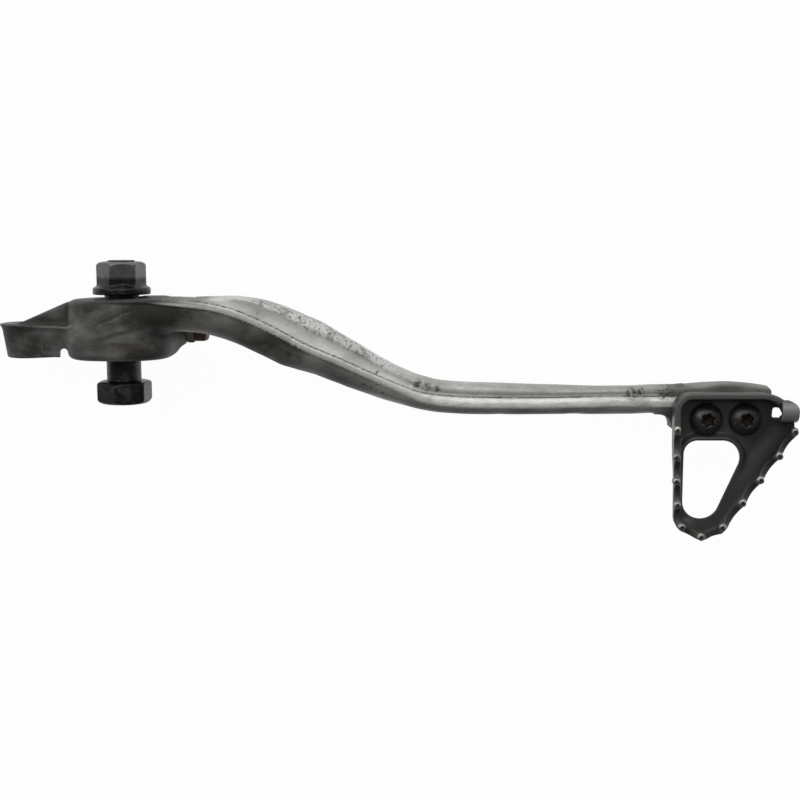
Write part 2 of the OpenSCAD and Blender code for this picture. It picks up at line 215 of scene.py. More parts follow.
def curve(x, xs, ys):
    """Smooth curve through points, with no overshoot (monotone cubic)."""
    xs, ys = np.asarray(xs, float), np.asarray(ys, float)
    d = np.diff(ys) / np.diff(xs)
    m = np.zeros_like(ys)
    product, total = d[1:] * d[:-1], d[1:] + d[:-1]
    m[1:-1] = np.where(product > 0, 2 * product / np.where(total == 0, 1, total), 0)
    m[0], m[-1] = d[0], d[-1]
    x = np.clip(x, xs[0], xs[-1])
    i = np.clip(np.searchsorted(xs, x) - 1, 0, len(xs) - 2)
    w = xs[i + 1] - xs[i]
    t = (x - xs[i]) / w
    return ((2 * t**3 - 3 * t**2 + 1) * ys[i] + (t**3 - 2 * t**2 + t) * w * m[i]
            + (3 * t**2 - 2 * t**3) * ys[i + 1] + (t**3 - t**2) * w * m[i + 1])


# ---------------------------------------------------------------- forging
# Hub: radius and height of its parting plane, width, draft in degrees; bores of
# the bushes and seals; push rod eye; stop screw; plate screws
HUB_R, HUB_W, PART_Y, HUB_DRAFT = 18.9, 20.2, 10.4, 4.5
BUSH_R, SEAL_R, SEAL_LOW, SEAL_HIGH = 8.05, 9.27, 2.7, 17.5
EYE, EYE_BORE, TAIL_TOP = (-34.9, -7.5), 4.0, 11.2
STOP_Y, STOP_Z, STOP_BORE = 11.4, -9.0, 4.02
SCREW_X, SCREW_Y, SCREW_BORE = (207.3, 221.3), -23.2, 3.02
# Stations of the arm: x, ridge y, from the ridge to the inner side, to the
# crease and to the outer side, half height, middle z
ARM = np.array([
    [-9, 19.2, 0.3, 0.2, 8.6, 4.6, 9.9],
    [-4, 19.7, 0.3, 0.3, 9.8, 7.0, 9.9],
    [5, 20.2, 0.4, 0.4, 10.6, 8.6, 9.9],
    [11, 20.3, 0.5, 0.6, 10.5, 8.7, 9.8],
    [18, 20.0, 0.9, 1.0, 10.2, 8.6, 9.6],
    [28, 19.1, 2.1, 2.2, 9.8, 8.6, 9.0],
    [34.4, 18.0, 3.4, 3.5, 10.2, 8.5, 8.4],
    [41, 16.1, 5.2, 5.4, 10.7, 8.4, 7.5],
    [48, 13.1, 7.7, 6.65, 11.1, 8.3, 6.6],
    [55.3, 9.4, 9.4, 6.7, 11.2, 8.2, 5.5],
    [62, 5.5, 10.6, 6.7, 9.4, 7.9, 4.4],
    [69, 2.1, 10.9, 6.5, 8.4, 7.7, 3.3],
    [76, -1.0, 9.8, 6.1, 8.3, 7.6, 2.0],
    [83.4, -4.5, 8.8, 5.4, 7.6, 7.4, 0.9],
    [90.6, -7.9, 7.7, 4.6, 6.9, 7.2, -0.2],
    [97.8, -11.2, 7.2, 4.0, 5.8, 7.05, -1.3],
    [105, -14.2, 7.2, 3.7, 4.8, 6.9, -2.4],
    [112.3, -15.6, 6.8, 3.5, 4.6, 6.7, -3.3],
    [124.4, -16.5, 6.8, 3.4, 4.5, 6.55, -4.6],
    [151, -17.0, 6.1, 3.2, 4.4, 6.4, -7.5],
    [171.6, -16.8, 5.1, 3.2, 4.9, 6.3, -9.5],
    [180, -17.0, 5.3, 3.3, 4.8, 5.9, -10.5],
    [188.5, -17.4, 6.0, 3.2, 4.3, 4.3, -11.6],
    [200, -17.2, 6.0, 2.7, 4.4, 3.9, -11.9]])
# Slope of the flat on the ridge, before and past the second bend
TILT_X, TILT = (84, 114), (0.14, 0.36)


def land_at(x):
    """Half width of the flat on the ridge: narrow in the bends, then wide."""
    return 0.95 + 0.6 * step01((x - 90) / 24)


def section(i, o, c, h, land, tilt):
    """Closed outline of the arm's section, from the ridge towards +y."""
    t = np.linspace(0, 1, 26)[1:]
    # inner side: sloping land, groove, slightly hollow face, crease, rounded flank
    drop = 2 * land * tilt
    top = [(land, h - drop), (land + 0.3, h - drop - 0.35)]
    a = (land + 0.6, h - drop - 0.12)
    top.append(a)
    b = (c, min(h * 0.80, a[1] - 0.22 * (c - a[0])))
    if b[0] > a[0] + 0.4:
        for s in t[4::5]:
            sag = 0.06 * (c - 1.5) * math.sin(math.pi * s)
            top.append((a[0] + (b[0] - a[0]) * s, a[1] + (b[1] - a[1]) * s - sag))
    p = top[-1]
    for s in t:
        q = s * math.pi / 2
        top.append((p[0] + (i - p[0]) * math.sin(q) ** 0.9, p[1] * math.cos(q) ** 0.85))
    low = [(u, -v) for u, v in top[-2::-1]]
    out = [(-land, -h), (-land - 0.35, -h * 0.96)]
    for s in t:
        q = s * math.pi / 2
        out.append((-land - 0.35 - (o - land - 0.35) * math.sin(q) ** 0.8,
                    -h * 0.96 * math.cos(q) ** 0.8))
    back = [(u, -v) for u, v in out[-2::-1]]
    return np.array(top + low + out + back)


XS = np.linspace(ARM[0, 0], ARM[-1, 0], 419)
RIDGE_Y, TO_INNER, TO_CREASE, TO_OUTER, HALF_H, MID_Z = [
    curve(XS, ARM[:, 0], ARM[:, k]) for k in range(1, 7)]
CENTRE = (TO_INNER - TO_OUTER) / 2
NT = 360


def section_radii():
    """Radius of each section of the arm, in NT directions from its centre."""
    turn = 2 * math.pi
    want = turn * np.arange(NT) / NT - math.pi
    rows = []
    for n, x in enumerate(XS):
        i, o = TO_INNER[n], TO_OUTER[n]
        land = min(land_at(x), max(0.2, i - 0.1), o - 0.5)
        p = section(i, o, TO_CREASE[n], HALF_H[n], land, np.interp(x, TILT_X, TILT))
        u, v = p[:, 0] - CENTRE[n], p[:, 1]
        angle = np.unwrap(np.arctan2(v, u))
        if angle[-1] < angle[0]:
            angle, u, v = angle[::-1], u[::-1], v[::-1]
        full = np.concatenate([angle + k * turn for k in (-2, -1, 0, 1)])
        order = np.argsort(full)
        rows.append(np.interp(want, full[order], np.tile(np.hypot(u, v), 4)[order]))
    return np.array(rows)


RADIUS = section_radii()


def arm(x, y, z):
    xc = np.clip(x, XS[0], XS[-1])
    yr = np.interp(xc, XS, RIDGE_Y)
    zc = np.interp(xc, XS, MID_Z)
    u, v = y - yr - np.interp(xc, XS, CENTRE), z - zc
    a = (np.arctan2(v, u) + math.pi) / (2 * math.pi) * NT
    i = np.floor(a).astype(int) % NT
    s = (xc - XS[0]) / (XS[1] - XS[0])
    j = np.clip(s.astype(int), 0, len(XS) - 2)
    fa, fs = a - np.floor(a), s - j
    k = (i + 1) % NT
    r = ((RADIUS[j, i] * (1 - fa) + RADIUS[j, k] * fa) * (1 - fs)
         + (RADIUS[j + 1, i] * (1 - fa) + RADIUS[j + 1, k] * fa) * fs)
    d = (np.hypot(u, v) - r) * 0.9
    return np.maximum(d, np.maximum(XS[0] - x, x - XS[-1]))


# Edges of the raised band that sweeps over the hub's front: x, y
BAND_LO = ([-9, -5.3, -2.8, 1.3, 5.5, 11.4, 15.1, 22],
           [5.6, 7.0, 8.0, 9.4, 10.5, 11.7, 11.5, 10.2])
BAND_HI = ([-6, -0.2, 3.2, 7.6, 11.6, 15.3, 21.8],
           [12.4, 14.3, 16.2, 17.4, 17.9, 17.9, 18.1])
BAND_H = 0.45


def hub(x, y, z):
    r = HUB_R - np.abs(y - PART_Y) * math.tan(math.radians(HUB_DRAFT))
    lo, hi = np.interp(x, *BAND_LO), np.interp(x, *BAND_HI)
    front = step01((z - 1) / 6) * step01((x + 10) / 9)
    r = r + front * BAND_H * (step01((y - lo + 0.9) / 1.8) - step01((y - hi + 0.35) / 0.7))
    r = r - 0.3 * front * np.exp(-((y - hi) / 0.45) ** 2)
    # the hub is a little squared towards its lug face
    k = 2 + 0.75 * step01((13 - y) / 9)
    d = (np.abs(x) ** k + np.abs(z) ** k + 1e-6) ** (1 / k)
    return meet(meet(d - r, y - HUB_W, 2.0), -y, 2.1)


def tail_radius(y):
    t = np.clip((y + 0.2) / 11.4, 0, 1)
    return 7.95 + 1.7 * t + 0.9 * np.clip((t - 0.8) / 0.2, 0, 1) ** 2


def eye(x, y, z):
    d = np.hypot(x - EYE[0], z - EYE[1])
    return meet(d - tail_radius(y), np.maximum(-0.7 - y, y - TAIL_TOP), 0.6)


def web(x, y, z):
    """Tail between the eye and the hub, with its rib on top."""
    t = np.clip((x - EYE[0]) / (-EYE[0] - 7), 0, 1)
    mid = EYE[1] * (1 - t)
    low = -0.73 + 2.3 * np.minimum(t, 0.45)
    across = np.where(x < EYE[0], np.hypot(x - EYE[0], z - EYE[1]), np.abs(z - mid))
    body = meet(across - (tail_radius(y) + 5.0 * t), np.maximum(low - y, y - TAIL_TOP), 0.6)
    body = np.maximum(body, x + 7)
    slant = (y - np.interp(x, [-40, -37, -19.3, -13], [10.9, 11.6, 19.2, 19.6])) * 0.93
    rib = meet(np.abs(z + 3.2 - 1.6 * t) - 3.0 - 2.2 * t, np.maximum(slant, 5 - y), 1.3)
    rib = meet(rib, np.maximum(-37.4 - x, x + 9), 0.8)
    # arch between the tail and the hub, open along the draft of its end
    xs = x + 20.9 - 0.26 * z
    arch = meet(-(xs + 1.35), y - 3.6 + 0.25 * np.abs(xs), 1.1)
    return smax(smin(body, rib, 1.2), -arch, 0.5)


def pad(x, y, z):
    end = np.maximum(198.4 - x, x - 231.2 + 0.18 * (z + 7.5))
    q = meet(end, np.abs(y + 20.25) - 9.3, 1.5)
    q = smax(q, (x - 222.4) * 0.17 + (y + 10.95) * 0.985, 1.5)
    q = smax(q, y + 12.3 - (x - 198) * 0.13, 1.5)
    q = meet(q, np.abs(z + 13.25) - 5.75, 0.9)
    # quarter round under the arm, beside the plate
    r = np.maximum(np.maximum(190.2 - x, x - 200), np.maximum(-27.2 - y, y + 20))
    r = np.maximum(np.maximum(r, 5.1 - np.hypot(x - 190.4, y + 26.7)), np.abs(z + 12.0) - 3.6)
    return smin(q, r, 0.8)


def boss(x, y, z):
    return cyl(y - STOP_Y, z - STOP_Z, x, 7.4, 6, 20.9, 0.9)


KINK = np.array([63.8, -2.0, 4.2])
DENTS = [  # x, y, z, radius, depth
    (58.5, 6.0, 11.6, 2.6, 0.35), (76.0, -8.8, 2.2, 3.0, 0.30), (63.6, -4.2, 5.5, 1.6, 0.35),
    (101.0, -9.3, 3.2, 1.8, 0.25), (69.5, 8.0, 9.0, 3.4, 0.22), (133.0, -19.5, -2.4, 3.0, 0.18),
    (-26.5, 2.4, 6.0, 2.2, 0.5), (3.9, 5.2, 17.8, 3.0, 0.25), (160, -20.6, -5.0, 4.0, 0.2),
    (86.0, -13.5, 0.0, 2.6, 0.3)]


def forging(x, y, z):
    f = smin(hub(x, y, z), web(x, y, z), 1.0)
    f = np.minimum(f, eye(x, y, z))
    f = smin(f, boss(x, y, z), 5.5)
    a = arm(x, y, z)
    f = smin(f, a, 1.6)
    f = smin(f, pad(x, y, z), 2.2)
    # kink under the second bend, and dents
    k = np.hypot(np.hypot((x - KINK[0]) / 3.4, (y - KINK[1]) / 3), (z - KINK[2]) / 6)
    f = f - 0.45 * np.exp(-k * k)
    for dx, dy, dz, r, depth in DENTS:
        q = ((x - dx) ** 2 + (y - dy) ** 2 + (z - dz) ** 2) / (r * r)
        f = f + depth * np.exp(-2.0 * q)
    # bores
    d = np.hypot(x, z)
    f = smax(f, BUSH_R - d, 0.3)
    f = smax(f, -np.maximum(d - SEAL_R, np.minimum(y - SEAL_LOW, SEAL_HIGH - y)), 0.3)
    e = np.hypot(x - EYE[0], z - EYE[1])
    f = smax(f, EYE_BORE - e, 0.5)
    f = smax(f, -np.maximum(np.hypot(y - STOP_Y, z - STOP_Z) - STOP_BORE, 9.2 - x), 0.3)
    for sx in SCREW_X:
        f = smax(f, SCREW_BORE - np.hypot(x - sx, y - SCREW_Y), 0.3)
    return f


STAINS = [  # x, y, radius
    (103.5, -9.4, 1.5), (106.8, -10.4, 1.4), (110.5, -11.4, 1.1), (180.5, -14.2, 2.0),
    (184.0, -13.4, 1.3), (192.8, -14.0, 2.4), (59.0, 2.0, 1.3), (62.5, 0.4, 1.1),
    (-26.5, 2.6, 2.6), (-12.5, 17.6, 1.5)]


def forging_marks(p, n):
    """Where the forging is grimy and specked, where handling polished the ridge, and where light
    is painted: highlights on the ridge and crease, a paler lit inner side, and shade on the outer
    side.
    """
    x, y, z = p.T
    side = y - np.interp(x, XS, RIDGE_Y)
    crease_at = np.interp(x, XS, TO_CREASE)
    on_arm = band(x, 2, 203, 14)
    # painted highlight: the ridge shines in two lines in the bends, and all over past them
    ridge = (on_arm * step01(land_at(x) + 0.5 - np.abs(side))
             * step01((n[:, 2] - 0.05) / 0.6))
    lines = (np.exp(-((side + 0.45) / 0.5) ** 2)
             + 0.6 * np.exp(-((side - 0.95) / 0.36) ** 2))
    wide = step01((x - 84) / 30)
    ridge_highlight = ridge * (wide * (0.75 + 0.25 * lines) + (1 - wide) * lines) * step01((x - 12) / 26)
    # painted highlight along the crease of the bends, added to the ridge's mark below
    crease = on_arm * np.exp(-((side - crease_at) / 0.8) ** 2) * band(x, 30, 78, 8, 16)
    # inner: the side that faces the lamp at +y, picked by its normal; outer: the side away from it
    inner = on_arm * step01(side / 1.2 + 0.2) * step01((n[:, 1] + 0.35) / 0.5)
    outer = on_arm * (1 - inner) * (1 - ridge)
    # darker round the hub and on the pad from soiling; painted shade on the outer side, which
    # faces away from the lamp, and between the ridge's two painted highlight lines in the bends
    dirt_and_shade = 0.95 * step01((26 - x) / 20) * (1 - 0.6 * inner)
    dirt_and_shade = dirt_and_shade + outer * (0.5 + 0.35 * step01((100 - x) / 60))
    dirt_and_shade = dirt_and_shade + inner * (0.42 * step01((42 - x) / 14) + 0.2 * step01((60 - x) / 14))
    dirt_and_shade = dirt_and_shade + 0.3 * ridge * (1 - lines) * (1 - wide)
    dirt_and_shade = dirt_and_shade + 0.55 * step01((x - 186) / 14) + 0.1 * step01((x - 95) / 20)
    speck = (on_arm * step01((side - crease_at + 1) / 1.5) * step01((x - 42) / 8)
             * (0.2 + 0.8 * step01((104 - x) / 20)))
    stain = np.zeros(len(x))
    for sx, sy, r in STAINS:
        stain = np.maximum(stain, step01(1.6 - np.hypot(x - sx, y - sy) / r))
    rust = band(x, -0.8, 8.8, 1.2) * band(y, 3.0, 6.9, 0.8) * step01((z - 8) / 4)
    return {"dirt_and_shade": np.clip(dirt_and_shade, 0, 1), "ridge": np.maximum(ridge_highlight, 0.6 * crease),
            "inner": inner, "painted_lit_side": inner * band(x, 50, 108, 12, 16), "speck": speck,
            "stain": stain * step01((n[:, 2] + 0.2) / 0.4), "rust": rust}


forged = solid("forging", forging,
               (steps((-47.5, 36, 0.5), (36, 186, 1.2), (186, 234, 0.5)),
                steps((-31.5, 23.5, 0.38)), steps((-20.5, 20.5, 0.38))), forging_marks)
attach(forged, "pedal")
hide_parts("pedal_arm")

# ---------------------------------------------------------------- step plate
# Corner of the plate, heights of its floor, tread and rim, thickness of the
# sheet, lean of the walls, and depth of the scallops between the teeth
PX, PY = 195.0, -13.05
FLOOR, TREAD, RIM, SHEET = -7.5, -5.3, 2.5, 2.25
LEAN, CUT, TIP_R = 0.075, 1.7, 1.25
# Corners as x, y, radius; teeth from the plate's corner
OUTLINE = [(PX + 42.8, PY - 0.45, 12.5), (PX, PY - 0.45, 5.8), (PX + 1.0, PY - 48.0, 5.0),
           (PX + 10.2, PY - 53.0, 7.0), (PX + 17.75, PY - 50.1, 6.0), (PX + 42.8, PY - 13.9, 0.4)]
WINDOW = [(PX + 28.0, PY - 17.7, 6.5), (PX + 4.3, PY - 17.7, 4.8), (PX + 4.3, PY - 72.0, 6.75)]
TEETH = [(0.55, -13.2), (0.5, -22.9), (0.7, -31.6), (1.3, -40.2), (3.3, -48.2),
         (10.2, -51.8), (17.6, -48.3), (24.6, -39.4), (30.7, -31.1), (37.1, -22.4), (42.2, -13.7)]


def convex(x, y, corners):
    """Distance to a convex outline, each corner rounded by its own radius."""
    n = len(corners)
    d = np.full(np.shape(x), -1e3)
    for i in range(n):
        a, b = np.array(corners[i][:2]), np.array(corners[(i + 1) % n][:2])
        t = (b - a) / np.linalg.norm(b - a)
        d = np.maximum(d, (x - a[0]) * t[1] - (y - a[1]) * t[0])
    for i in range(n):
        p = np.array(corners[i][:2])
        a = np.array(corners[i - 1][:2]) - p
        b = np.array(corners[(i + 1) % n][:2]) - p
        a, b = a / np.linalg.norm(a), b / np.linalg.norm(b)
        half = math.acos(float(a @ b)) / 2
        r = corners[i][2]
        m = (a + b) / np.linalg.norm(a + b)
        o = p + m * r / math.sin(half)
        # inside the wedge that the corner's arc covers
        ex, ey = x - o[0], y - o[1]
        wedge = (ex * a[0] + ey * a[1] < 0) & (ex * b[0] + ey * b[1] < 0)
        d = np.where(wedge, np.hypot(ex, ey) - r, d)
    return d


def past_slant(x, y):
    """How far out a point lies, square to the plate's slanting side."""
    return (x - PX - 17.8) * 0.822 - (y - PY + 50) * 0.57


def plate_floor(x, y, w):
    """Height of the sheet's under side: low round the screws, raised at the window."""
    low = step01((-31 - y) / 15)
    lip = step01((2.9 - w) / 2.2) * step01((y + 52) / 14)
    return FLOOR + (TREAD - FLOOR) * (1 - (1 - low) * (1 - lip))


def sheet(x, y, z, bed, d):
    """Tray with leaning walls: d is the distance to its outline."""
    dw = (d - LEAN * (z - bed)) * 0.997
    # the slanting side is bent far more gently than the others
    easy = step01((past_slant(x, y) + 15) / 9)
    outer = meet(dw, bed - z, 2.8 + 2.6 * easy)
    outer = meet(outer, z - RIM, 0.9)
    pocket = meet(dw + SHEET, bed + SHEET - z, 2.0 + 3.8 * easy)
    return smax(outer, -pocket, 0.45)


def tooth_cuts(x, y, z):
    """The scallops between teeth: round cuts square to the wall."""
    best = np.full(np.shape(x), 1e3)
    for a, b in zip(TEETH[:-1], TEETH[1:]):
        a, b = np.array(a) + (PX, PY), np.array(b) + (PX, PY)
        gap = np.linalg.norm(b - a)
        t = (b - a) / gap
        m = (a + b) / 2
        half = gap / 2 - 0.95  # half the width of the cut, between two tips
        u = (x - m[0]) * t[0] + (y - m[1]) * t[1]
        across = np.abs(-(x - m[0]) * t[1] + (y - m[1]) * t[0])
        r = (half * half + CUT * CUT) / (2 * CUT)
        c = np.hypot(u, z - (RIM - CUT + r)) - r
        c = np.maximum(c, across - 5)
        best = np.minimum(best, c)
    return best


def tooth_tips(x, y, z):
    """Round tips of the teeth, each with a dimple."""
    best = np.full(np.shape(x), 1e3)
    for a in TEETH:
        r = np.hypot(x - PX - a[0], y - PY - a[1])
        tip = meet(r - TIP_R, np.maximum(z - RIM - 0.4, RIM - 2.6 - z), 0.5)
        dimple = np.hypot(r, z - RIM - 0.9) - 0.85
        best = np.minimum(best, smax(tip, -dimple, 0.15))
    return best


def flap(x, y, z):
    """End of the rear wall, curled over towards the floor."""
    cy, cz, r, half = -19.95, -0.9, 2.6, 1.05
    ring = np.abs(np.hypot(y - cy, (z - cz) * 1.08) - r) - half
    arc = np.maximum(ring, -(z - cz) * 0.9)
    tail = np.abs(y - cy + r + 0.2 * (z - cz)) - half
    tail = np.maximum(tail, np.maximum(z - cz, cz - 1.2 - z))
    root = np.maximum(np.abs(y - cy - r) - half, np.maximum(z - cz, FLOOR + 2 - z))
    q = smin(smin(arc, tail, 0.6), root, 0.6)
    q = meet(q, np.abs(x - 235.6) - 3.1, 0.5)
    return meet(q, (x - 236.9) * 0.775 + (y + 15.75) * 0.632, 0.8)


def step_plate(x, y, z):
    d = convex(x, y, OUTLINE)
    w = convex(x, y, WINDOW)
    bed = plate_floor(x, y, w)
    f = sheet(x, y, z, bed, d)
    f = smax(f, -tooth_cuts(x, y, z), 0.35)
    f = smin(f, tooth_tips(x, y, z), 0.45)
    # gap in the end wall for the flap
    gap = meet(np.abs(y + 20.45) - 4.95, 231.9 - x, 1.2)
    f = smax(f, -np.maximum(gap, -1.6 - z), 0.5)
    f = smin(f, flap(x, y, z), 0.5)
    f = smax(f, -w, 0.7)
    for sx in SCREW_X:
        f = smax(f, 3.1 - np.hypot(x - sx, y - SCREW_Y), 0.3)
    # small square hole, leaning along the camera's line of sight
    lean = 0.16 * (z - FLOOR)
    hole = meet(np.abs(x - 232.75 - lean) - 1.85 - lean, np.abs(y + 20.75) - 2.0, 0.9)
    hole = np.maximum(hole, z + 2.6)
    return smax(f, -hole, 0.3)


def plate_marks(p, n):
    """Where the sheet is rubbed, dusty or dark, with painted shade on the scalloped walls and in
    the tips' dimples, painted highlights on the tips' lit side, and painted light on the curled
    flap.
    """
    x, y, z = p.T
    d = convex(x, y, OUTLINE)
    near, lit = np.full(len(x), 1e3), np.zeros(len(x))
    # lit: the +y side of each tip, which faces the lamp, for a painted highlight
    for a in TEETH:
        r = np.hypot(x - PX - a[0], y - PY - a[1])
        lit = np.where(r < near, step01((y - PY - a[1] + 0.35) / 0.9), lit)
        near = np.minimum(near, r)
    top = step01((z - RIM + 0.9) / 0.5)
    curl = step01((x - 232.2) / 0.5) * band(y, -23.9, -15.2, 0.5) * step01((z + 1.6) / 0.8)
    # painted shade on the scalloped walls along the lower sides
    scallop_shade = band(z, -1.4, RIM - 0.6, 0.8, 0.6) * step01((-24 - y) / 3) * step01((d + 2.6) / 0.5)
    return {"rim": step01((z - RIM + 0.7) / 0.5) * step01((n[:, 2] - 0.3) / 0.4),
            "scallop_shade": scallop_shade, "curl": curl, "dust": step01((-44 - y) / 14),
            "bend": step01((past_slant(x, y) + 13) / 6) * step01((1 - z) / 1.5),
            "eye": step01((0.85 - near) / 0.3) * top,
            "tip": band(near, 0.5, 1.75, 0.35, 0.4) * top * lit}


plate = solid("step_plate_sheet", step_plate,
              (steps((191.5, 240.5, 0.35)), steps((-67.5, -10.5, 0.35)), steps((-9.2, 5.0, 0.33))),
              plate_marks, 0.9)
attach(plate, "pedal")
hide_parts("step_plate")


# ---------------------------------------------------------------- fasteners
# Radii of the bars, widths across flats, end of the nut, and the screw's head
SHOULDER_R, BOLT_R, STOP_R, SCREW_R = 6.0, 4.95, 3.98, 2.98
BOLT_AF, NUT_AF, STOP_AF = 17, 15, 13
NUT_TOP = 33.3
DOME_R, DOME_TOP, HEAD_BASE = 7.4, -1.2, -5.25


def hexagon(u, v, af, turn):
    """Hexagon of this width across flats, with slightly rounded corners."""
    d = np.full(np.shape(u), -1e3)
    for k in range(6):
        q = math.radians(turn + 30 + 60 * k)
        d = smax(d, u * math.cos(q) + v * math.sin(q) - af / 2, 0.45)
    return d


def thread(u, v, w, pitch):
    """Cut of a screw thread, added to a bar's distance."""
    t = (w / pitch - np.arctan2(v, u) / (2 * math.pi)) % 1.0
    return (0.5 - np.abs(t - 0.5)) * 2 * 0.28 * pitch


def bolt(x, y, z):
    u, v, r = x, -z, np.hypot(x, z)
    head = smax(hexagon(u, v, BOLT_AF, 23.5), np.abs(y + 12.5) - 3.9, 0.7)
    head = smax(head, (r - 8.3 - (y + 16.4) * 1.4) * 0.58, 0.7)
    head = smax(head, (r - 9.1 - (-8.7 - y) * 1.6) * 0.53, 0.7)
    seat = cyl(u, v, y, 8.0, -9.2, -8.6, 0.2)
    f = smin(head, seat, 0.3)
    shank = cyl(u, v, y, SHOULDER_R, -9.5, 22.0, 0.3)
    f = smin(f, shank, 0.8)
    bar = r - BOLT_R + thread(u, v, y, 1.25) * step01((y - 32.4) / 0.4)
    bar = meet(bar, np.maximum(20 - y, y - 33.8), 0.5)
    return np.minimum(f, bar)


def nut(x, y, z):
    u, v, r = x, -z, np.hypot(x, z)
    body = smax(hexagon(u, v, NUT_AF, 14.7), np.maximum(22.5 - y, y - NUT_TOP), 0.4)
    body = smax(body, (r - 7.15 - (NUT_TOP - y) * 1.55) * 0.54, 0.5)
    cone = smax((r - 7.4 - (25.6 - y) * 1.75) * 0.5, r - 10.0, 0.5)
    flange = meet(cone, np.maximum(22.0 - y, y - 27.5), 0.35)
    f = smin(body, flange, 0.5)
    f = smax(f, 5.05 - r, 0.2)
    return smax(f, -((r - 5.9 - (y - NUT_TOP) * 0.9) * 0.74), 0.2)


def plate_screw(cx):
    """Pan head screw with a six-lobe recess, at this x."""
    def f(x, y, z):
        u, v = x - cx, y - SCREW_Y
        r = np.hypot(u, v)
        dome = np.hypot(r, z - (DOME_TOP - DOME_R)) - DOME_R
        head = meet(dome, r - 5.95, 0.7)
        head = meet(head, HEAD_BASE - z, 0.25)
        a = np.arctan2(v, u) + 0.15 * cx
        lobe = 2.15 + 0.46 * np.cos(6 * a)
        hole = np.maximum((r - lobe) * 0.75, DOME_TOP - 3.2 - z + 0.25 * r)
        mouth = (r - 2.45 - (z - DOME_TOP + 0.25) * 1.1) * 0.67
        head = smax(head, -hole, 0.22)
        head = smax(head, -mouth, 0.25)
        bar = r - SCREW_R + thread(u, v, z, 1.0) * step01((-17.5 - z) / 0.3)
        bar = meet(bar, np.maximum(-17.9 - z, z + 4.6), 0.4)
        return smin(head, bar, 0.3)
    return f


def stop_screw(x, y, z):
    u, v = STOP_Z - z, y - STOP_Y
    r = np.hypot(u, v)
    head = smax(hexagon(u, v, STOP_AF, 0), np.abs(x - 26.6) - 2.1, 0.5)
    head = smax(head, (r - 6.2 - (28.7 - x) * 1.5) * 0.55, 0.5)
    bar = r - STOP_R + thread(u, v, x, 1.25) * step01((x - 20.0) / 0.5)
    bar = meet(bar, np.maximum(10.3 - x, x - 25), 0.4)
    return smin(head, bar, 0.3)


def lock_nut(x, y, z):
    u, v = STOP_Z - z, y - STOP_Y
    r = np.hypot(u, v)
    f = smax(hexagon(u, v, STOP_AF, 17), np.abs(x - 22.7) - 1.8, 0.35)
    f = smax(f, (r - 6.3 - (24.5 - x) * 1.6) * 0.53, 0.4)
    f = smax(f, (r - 6.3 - (x - 20.9) * 1.6) * 0.53, 0.4)
    return smax(f, 4.05 - r, 0.2)


def screw_marks(cx):
    """Where the recess is: below the dome that the head would have."""
    def marks(p, n):
        x, y, z = p.T
        r = np.hypot(x - cx, y - SCREW_Y)
        dome = DOME_TOP - DOME_R + np.sqrt(np.maximum(DOME_R ** 2 - r * r, 0))
        return {"pit": step01((dome - z - 0.5) / 0.7) * step01((z + 5.2) / 0.3)}
    return marks


def fastener(name, node, body, f, lo, hi, h, marks=None):
    """Solid f between the corners lo and hi, on a grid of step h, for this node."""
    o = solid(name, f, [steps((lo[k], hi[k], h)) for k in range(3)], marks, 0.8)
    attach(o, body)
    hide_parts(node)
    return o


bolt_piece = fastener("shoulder_bolt", "pivot_bolt", "pivot", bolt,
                      (-10.6, -17.2, -10.6), (10.6, 35.4, 10.6), 0.3)
nut_piece = fastener("flange_nut", "pivot_nut", "pivot", nut,
                     (-10.9, 21.2, -10.9), (10.9, 35.0, 10.9), 0.27)
screw_pieces = [
    fastener("screw_" + side, "plate_screw_" + side, "pedal", plate_screw(cx),
             (cx - 6.8, -30.0, -18.8), (cx + 6.8, -16.4, -0.4), 0.24, screw_marks(cx))
    for side, cx in zip(("rear", "front"), SCREW_X)]
stop_piece = fastener("stop_bolt", "stop_screw", "pedal", stop_screw,
                      (9.4, 3.6, -17.4), (29.6, 20.0, -0.6), 0.3)
lock_piece = fastener("stop_nut", "stop_lock_nut", "pedal", lock_nut,
                      (20.2, 3.6, -17.4), (25.3, 20.0, -0.6), 0.26)


